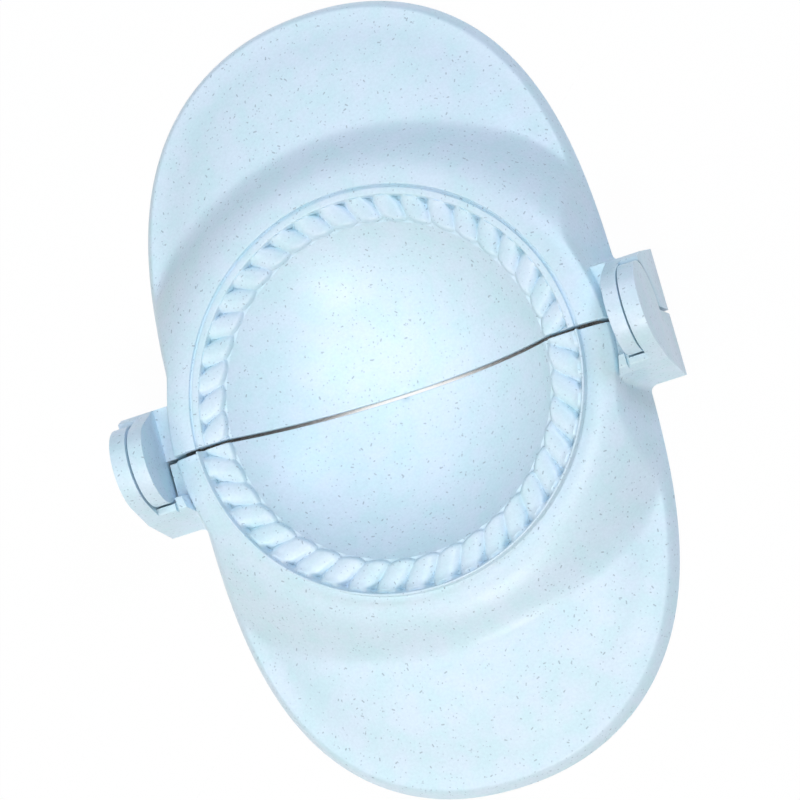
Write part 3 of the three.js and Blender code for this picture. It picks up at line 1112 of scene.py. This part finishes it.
@dataclass(frozen=True)
class Fibres:
    """Ground straw of one coarseness: its colour and its sizes.

    The flow of the melt lays the fibres nearly flat, so only a share of their upright
    part is kept. A fibre's colour fades between two shares of its width.
    """

    colour: str
    strength: float
    spacing_mm: float
    length_mm: float
    width_mm: float
    upright_share: float = 0.3
    core_share: float = 0.25
    fade_share: float = 0.6

    def mask(self, tree: bpy.types.NodeTree, place: bpy.types.NodeSocket) -> bpy.types.NodeSocket:
        """Mask of short fibres that lie in the plastic, one for each cell of a pattern.

        Args:
            tree: The material's node tree.
            place: The coordinates.

        Returns:
            A socket that is the fibres' strength in a fibre and 0 outside.
        """
        cells = add_node(tree, "TexVoronoi", {"Scale": 1000 / self.spacing_mm}, {"Vector": place})
        offset = add_node(tree, "VectorMath", {"operation": "SUBTRACT"},
                          {0: place, 1: cells.outputs["Position"]})
        centred = add_node(tree, "VectorMath", {"operation": "SUBTRACT", 1: (0.5, 0.5, 0.5)},
                           {0: cells.outputs["Color"]})
        lying = add_node(tree, "VectorMath",
                         {"operation": "MULTIPLY", 1: (1.0, 1.0, self.upright_share)},
                         {0: centred.outputs[0]})
        course = add_node(tree, "VectorMath", {"operation": "NORMALIZE"}, {0: lying.outputs[0]})
        along = add_node(tree, "VectorMath", {"operation": "DOT_PRODUCT"},
                         {0: offset.outputs[0], 1: course.outputs[0]})
        reach = (self.length_mm - self.width_mm) * METRES_PER_MM / 2
        held = add_node(tree, "Clamp", {"Min": -reach, "Max": reach}, {0: along.outputs["Value"]})
        core = add_node(tree, "VectorMath", {"operation": "SCALE"},
                        {0: course.outputs[0], "Scale": held.outputs[0]})
        apart = add_node(tree, "VectorMath", {"operation": "DISTANCE"},
                         {0: offset.outputs[0], 1: core.outputs[0]})
        width = self.width_mm * METRES_PER_MM
        mask = add_node(tree, "MapRange",
                        {"interpolation_type": "SMOOTHSTEP", "From Min": width * self.core_share,
                         "From Max": width * self.fade_share, "To Min": 1.0, "To Max": 0.0},
                        {0: apart.outputs["Value"]})
        share = add_node(tree, "Math", {"operation": "MULTIPLY", 1: self.strength},
                         {0: mask.outputs[0]})
        return share.outputs[0]


@dataclass(frozen=True)
class StrawPlastic:
    """Polypropylene filled with ground wheat straw, injection moulded.

    The filler shows as short dark fibres and dust in an even icy blue, and the
    moulding leaves a satin skin with a soft sheen and faint clouds of colour. The
    finest powder and the skin's texture are drawn coarser than they are, so that they
    show at the photograph's five pixels to a millimetre.
    """

    name: str = "wheat_straw_polypropylene_moulded"
    cool: str = "#CAE7F2"
    base: str = "#CFE7F4"
    rosy: str = "#D3E7F6"
    cloud_mm: float = 6.0
    cloud_range: tuple[float, float] = (0.36, 0.64)
    grain_mm: float = 0.6
    grain_range: tuple[float, float] = (0.35, 0.75)
    grain_share: float = 0.12
    dust: Fibres = Fibres("#86A0B6", 0.5, 1.05, 0.42, 0.3)
    fibres: Fibres = Fibres("#6F879C", 0.55, 2.0, 0.8, 0.34)
    skin_mm: float = 0.5
    skin_depth_mm: float = 0.04
    skin_strength: float = 0.12
    roughness_range: tuple[float, float] = (0.31, 0.43)
    ior: float = 1.49

    def material(self) -> bpy.types.Material:
        """The finish as a Blender material.

        Returns:
            The material.
        """
        material = bpy.data.materials.new(self.name)
        material.use_nodes = True
        tree = material.node_tree
        tree.nodes.clear()
        place = add_node(tree, "TexCoord").outputs["Object"]
        colour = self.powdered(tree, place)
        for straw in (self.dust, self.fibres):
            mix = add_node(tree, "Mix", {"data_type": "RGBA", 7: linear(straw.colour)},
                           {0: straw.mask(tree, place), 6: colour})
            colour = mix.outputs[2]

        skin = add_node(tree, "TexNoise",
                        {"Scale": 1000 / self.skin_mm, "Detail": 2.0, "Roughness": 0.6},
                        {"Vector": place})
        low, high = self.roughness_range
        rough = add_node(tree, "MapRange", {"To Min": low, "To Max": high}, {0: skin.outputs[0]})
        bump = add_node(tree, "Bump", {"Strength": self.skin_strength,
                                       "Distance": self.skin_depth_mm * METRES_PER_MM},
                        {"Height": skin.outputs[0]})
        shader = add_node(tree, "BsdfPrincipled", {"IOR": self.ior, "Metallic": 0.0},
                          {"Base Color": colour, "Roughness": rough.outputs[0],
                           "Normal": bump.outputs[0]})
        add_node(tree, "OutputMaterial", None, {"Surface": shader.outputs[0]})
        return material

    def powdered(self, tree: bpy.types.NodeTree,
                 place: bpy.types.NodeSocket) -> bpy.types.NodeSocket:
        """Colour of the plastic with its clouds and the finest powder of the filler.

        Args:
            tree: The material's node tree.
            place: The coordinates.

        Returns:
            The colour socket.
        """
        clouds = add_node(tree, "TexNoise",
                          {"Scale": 1000 / self.cloud_mm, "Detail": 3.0, "Roughness": 0.55},
                          {"Vector": place})
        tint = add_node(tree, "ValToRGB", None, {0: clouds.outputs[0]})
        stops = tint.color_ramp.elements
        for stop, position, colour in zip(stops, self.cloud_range, (self.cool, self.rosy)):
            stop.position, stop.color = position, linear(colour)
        stops.new(sum(self.cloud_range) / 2).color = linear(self.base)
        grain = add_node(tree, "TexNoise",
                         {"Scale": 1000 / self.grain_mm, "Detail": 2.0, "Roughness": 0.6},
                         {"Vector": place})
        low, high = self.grain_range
        depth = add_node(tree, "MapRange",
                         {"From Min": low, "From Max": high, "To Max": self.grain_share},
                         {0: grain.outputs[0]})
        powder = add_node(tree, "Mix", {"data_type": "RGBA", 7: linear(self.dust.colour)},
                          {0: depth.outputs[0], 6: tint.outputs[0]})
        return powder.outputs[2]


@dataclass
class MouldedHalf:
    """One moulding of the press: its shell and its hinge pieces."""

    name: str
    node: str
    body: str
    sizes: Sizes
    form: ShellForm
    hinge: type[Hinge]
    turned: bool
    columns: int = 420
    smooth_angle: float = math.radians(32)

    def build(self, finish: bpy.types.Material) -> bpy.types.Object:
        """Models the half, lays it into the frame and dresses it.

        Args:
            finish: The plastic.

        Returns:
            The finished piece.
        """
        obj = Bench.loft(*self.form.grid(self.columns))
        for side in HingeSide:
            Bench.fuse(obj, self.hinge(self.sizes, self.form, side).build(), Fuse.ADD)
        turn = Matrix.Rotation(math.pi, 4, "Z") if self.turned else Matrix.Identity(4)
        lift = Matrix.Translation((0, 0, self.sizes.skirt_depth))
        obj.data.transform(Matrix.Scale(METRES_PER_MM, 4) @ lift @ turn)
        Bench.pick(obj)
        bpy.ops.object.shade_smooth_by_angle(angle=self.smooth_angle)
        obj.name = obj.data.name = self.name
        obj.data.materials.clear()
        obj.data.materials.append(finish)
        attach(obj, self.body)
        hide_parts(self.node)
        log.info("%s: %d vertices, %d faces", self.name, len(obj.data.vertices),
                 len(obj.data.polygons))
        return obj


@dataclass
class Press:
    """The press: the front half with the sealing ridge and the rear half with its groove.

    The rings are cross-sections from the band's floor outwards, as radius and height,
    each with the rounding of its corners. A strand's lean is towards or against the turn.
    """

    sizes: Sizes = field(default_factory=Sizes)
    finish: StrawPlastic = field(default_factory=StrawPlastic)
    ridge_band_radius: float = 40.1
    ridge: tuple[Point, ...] = (
        (40.75, -0.25), (41.05, 0.9), (41.45, 0.9), (41.5, -1.5), (41.9, -1.51))
    ridge_rounding: tuple[float, ...] = (0, 0.3, 0.18, 0.18, 0.3, 0)
    groove_band_radius: float = 39.2
    groove: tuple[Point, ...] = (
        (39.5, -0.2), (40.85, -0.2), (40.98, -1.05), (41.52, -1.05), (41.64, -0.35), (42.2, -0.36))
    groove_rounding: tuple[float, ...] = (0, 0.3, 0.15, 0.15, 0.15, 0.15, 0)
    ring_arc_steps: int = 4

    def ring(self, start: float, corners: Sequence[Point], radii: Sequence[float]) -> list[Point]:
        """Rounded cross-section of a ring, without its two end points.

        Args:
            start: Radius at which the band's floor ends.
            corners: Corners of the ring outwards from there.
            radii: Rounding of the corners, the start's first.

        Returns:
            The points.
        """
        floor = (start, -self.sizes.band_floor_depth)
        return rounded([floor, *corners], radii, self.ring_arc_steps)[1:-1]

    def front(self) -> MouldedHalf:
        """The half with the raised ridge.

        Returns:
            The half, not yet built.
        """
        start = self.ridge_band_radius
        form = ShellForm(
            self.sizes, band_radius=start, ring=self.ring(start, self.ridge, self.ridge_rounding),
            step_depth=1.5, lean=-1.0, strand_start_share=0.0, strand_end_lift=0.5)
        return MouldedHalf("front_half_moulding", "front_half", "front", self.sizes, form,
                           FrontHinge, turned=True)

    def rear(self) -> MouldedHalf:
        """The half with the groove.

        Returns:
            The half, not yet built.
        """
        start = self.groove_band_radius
        form = ShellForm(
            self.sizes, band_radius=start, ring=self.ring(start, self.groove, self.groove_rounding),
            step_depth=0.35, lean=1.0, strand_start_share=0.5, strand_end_lift=0.25)
        return MouldedHalf("rear_half_moulding", "rear_half", "rear", self.sizes, form,
                           RearHinge, turned=False)

    def build(self) -> None:
        """Builds and dresses both halves."""
        plastic = self.finish.material()
        for half in (self.front(), self.rear()):
            half.build(plastic)


@dataclass(frozen=True)
class PhotoCamera:
    """Camera at the photograph's viewing angle, for a square picture.

    Angles are in radians. Focal length and shift are fitted in the picture's pixels.
    """

    azimuth: float = 1.008148477
    elevation: float = 1.265976006
    roll: float = -1.300364130
    distance_mm: float = 850.1776
    focal_share: float = 4241.8709 / PICTURE_PIXELS
    shift_x: float = 15.8372 / PICTURE_PIXELS
    shift_y: float = -10.7363 / PICTURE_PIXELS
    sensor_mm: float = 36.0
    clip: tuple[float, float] = (0.01, 20.0)

    def build(self, aim_height_mm: float) -> bpy.types.Object:
        """Makes the camera and gives it to the scene.

        Args:
            aim_height_mm: Height of the hinge axis, at which the camera looks.

        Returns:
            The camera.
        """
        flat = math.cos(self.elevation)
        back = Vector((math.sin(self.azimuth) * flat, -math.cos(self.azimuth) * flat,
                       math.sin(self.elevation)))
        level = (-back).cross(Vector((0, 0, 1))).normalized()
        steep = level.cross(-back)
        c, s = math.cos(self.roll), math.sin(self.roll)
        right, up = c * level + s * steep, -s * level + c * steep
        data = bpy.data.cameras.new("photo_camera")
        data.sensor_width = self.sensor_mm
        data.lens = self.focal_share * self.sensor_mm
        data.shift_x, data.shift_y = self.shift_x, self.shift_y
        data.clip_start, data.clip_end = self.clip
        camera = bpy.data.objects.new("photo_camera", data)
        bpy.context.scene.collection.objects.link(camera)
        turn = Matrix((right, up, back)).transposed().to_4x4()
        place = (back * self.distance_mm + Vector((0, 0, aim_height_mm))) * METRES_PER_MM
        camera.matrix_world = Matrix.Translation(place) @ turn
        bpy.context.scene.camera = camera
        return camera


@dataclass(frozen=True)
class Lamp:
    """Soft box, or a spot if it has a cone: where it hangs, its size and its strength.

    Angles are in degrees, and distance and size in metres. Azimuth 0 is at the front.
    """

    name: str
    azimuth: float
    elevation: float
    distance: float
    size: float
    watts: float
    colour: str = "#FFFFFF"
    cone: float = 0.0

    def build(self) -> None:
        """Hangs the lamp and turns it to the press."""
        data = bpy.data.lights.new(self.name, "SPOT" if self.cone else "AREA")
        if self.cone:
            data.spot_size, data.spot_blend = math.radians(self.cone), 1.0
            data.shadow_soft_size = self.size / 2
        else:
            data.shape, data.size = "DISK", self.size
        data.energy, data.color = self.watts, linear(self.colour)[:3]
        lamp = bpy.data.objects.new(self.name, data)
        bpy.context.scene.collection.objects.link(lamp)
        a, e = math.radians(self.azimuth), math.radians(self.elevation)
        out = Vector((math.sin(a) * math.cos(e), -math.cos(a) * math.cos(e), math.sin(e)))
        turn = out.to_track_quat("Z", "Y").to_matrix().to_4x4()
        lamp.matrix_world = Matrix.Translation(out * self.distance) @ turn


@dataclass(frozen=True)
class Studio:
    """White floor with painted shade under the press, white surround, soft boxes, and a spot for
    the glow in the thin bowl.
    """

    floor_size: float = 8.0
    # Name, azimuth, elevation, distance, size, watts, colour and cone of each lamp.
    lamps: tuple[Lamp, ...] = (
        Lamp("key_box", 0, 43, 1.2, 0.4, 5.4, "#FFF9F2"),
        Lamp("front_high_box", 45, 70, 1.2, 0.4, 3.2, "#FFFAF4"),
        Lamp("left_high_box", 315, 70, 1.2, 0.4, 2.0, "#FFFAF4"),
        Lamp("right_box", 130, 43, 1.2, 0.4, 4.6, "#DFE9FF"),
        Lamp("rear_box", 210, 40, 1.2, 0.4, 1.1, "#EEF5FF"),
        Lamp("left_box", 270, 50, 1.2, 0.4, 1.6),
        Lamp("left_card", 315, 45, 0.32, 0.16, 0.1),
        Lamp("rear_card", 180, 45, 0.32, 0.16, 0.1),
        Lamp("bowl_spot", 0, 90, 0.6, 0.03, 1.2, "#FFEBD2", 4.4),
    )
    paper_colour: str = "#F4F6F8"
    surround_colour: str = "#EEF2FF"
    surround: float = 0.02
    # Reach, samples and opening range of the painted shade that darkens the floor's glow under the
    # press.
    shade_reach_mm: float = 80.0
    shade_samples: int = 16
    painted_shade_opening_range: tuple[float, float] = (0.055, 0.095)
    shadow_share: float = 0.03

    @staticmethod
    def seen(tree: bpy.types.NodeTree) -> bpy.types.NodeSocket:
        """1 for what the camera sees, also in gloss and through clear things.

        Args:
            tree: The material's or world's node tree.

        Returns:
            The socket.
        """
        path = add_node(tree, "LightPath")
        first = add_node(tree, "Math", {"operation": "MAXIMUM"},
                         {0: path.outputs["Is Camera Ray"], 1: path.outputs["Is Glossy Ray"]})
        both = add_node(tree, "Math", {"operation": "MAXIMUM"},
                        {0: first.outputs[0], 1: path.outputs["Is Transmission Ray"]})
        return both.outputs[0]

    def white_paper(self) -> bpy.types.Material:
        """Paper that the camera sees as white, with a little of the shadow left on it.

        Its glow is darkened as painted shade where ambient occlusion finds it closed in under the
        press, so it is dark through narrow gaps.

        Returns:
            The material.
        """
        material = bpy.data.materials.new("white_studio_paper")
        material.use_nodes = True
        tree = material.node_tree
        tree.nodes.clear()
        # Painted shade: the floor's white glow fades to dark where ambient occlusion finds it
        # closed in under the press.
        openness = add_node(tree, "AmbientOcclusion",
                            {"Distance": self.shade_reach_mm * METRES_PER_MM,
                             "samples": self.shade_samples})
        dark, light = self.painted_shade_opening_range
        glow_after_painted_shade = add_node(tree, "MapRange", {"From Min": dark, "From Max": light},
                       {0: openness.outputs["AO"]})
        glow = add_node(tree, "Emission", None, {"Strength": glow_after_painted_shade.outputs[0]})
        paper = add_node(tree, "BsdfDiffuse", {"Color": linear(self.paper_colour)})
        share = add_node(tree, "Math", {"operation": "MULTIPLY", 1: 1 - self.shadow_share},
                         {0: self.seen(tree)})
        mix = add_node(tree, "MixShader", None,
                       {0: share.outputs[0], 1: paper.outputs[0], 2: glow.outputs[0]})
        add_node(tree, "OutputMaterial", None, {"Surface": mix.outputs[0]})
        return material

    def white_surround(self) -> bpy.types.World:
        """World that the camera sees as white, and that lights the press only a little.

        Returns:
            The world.
        """
        world = bpy.data.worlds.new("studio_surround")
        world.use_nodes = True
        tree = world.node_tree
        tree.nodes.clear()
        soft = add_node(tree, "Background",
                        {"Color": linear(self.surround_colour), "Strength": self.surround})
        white = add_node(tree, "Background", {"Strength": 1.0})
        mix = add_node(tree, "MixShader", None,
                       {0: self.seen(tree), 1: soft.outputs[0], 2: white.outputs[0]})
        add_node(tree, "OutputWorld", None, {"Surface": mix.outputs[0]})
        return world

    def build(self) -> None:
        """Lays the floor, sets the surround and hangs the lamps."""
        Bench.clear()
        bpy.ops.mesh.primitive_plane_add(size=self.floor_size)
        floor = bpy.context.object
        floor.name = "studio_floor"
        floor.data.materials.append(self.white_paper())
        bpy.context.scene.world = self.white_surround()
        for lamp in self.lamps:
            lamp.build()


def main() -> None:
    """Builds the press, the studio and the camera."""
    logging.basicConfig(level=logging.INFO)
    press = Press()
    press.build()
    Studio().build()
    PhotoCamera().build(press.sizes.skirt_depth)
    bpy.context.scene.view_settings.view_transform = "Standard"


if __name__ == "__main__":
    main()
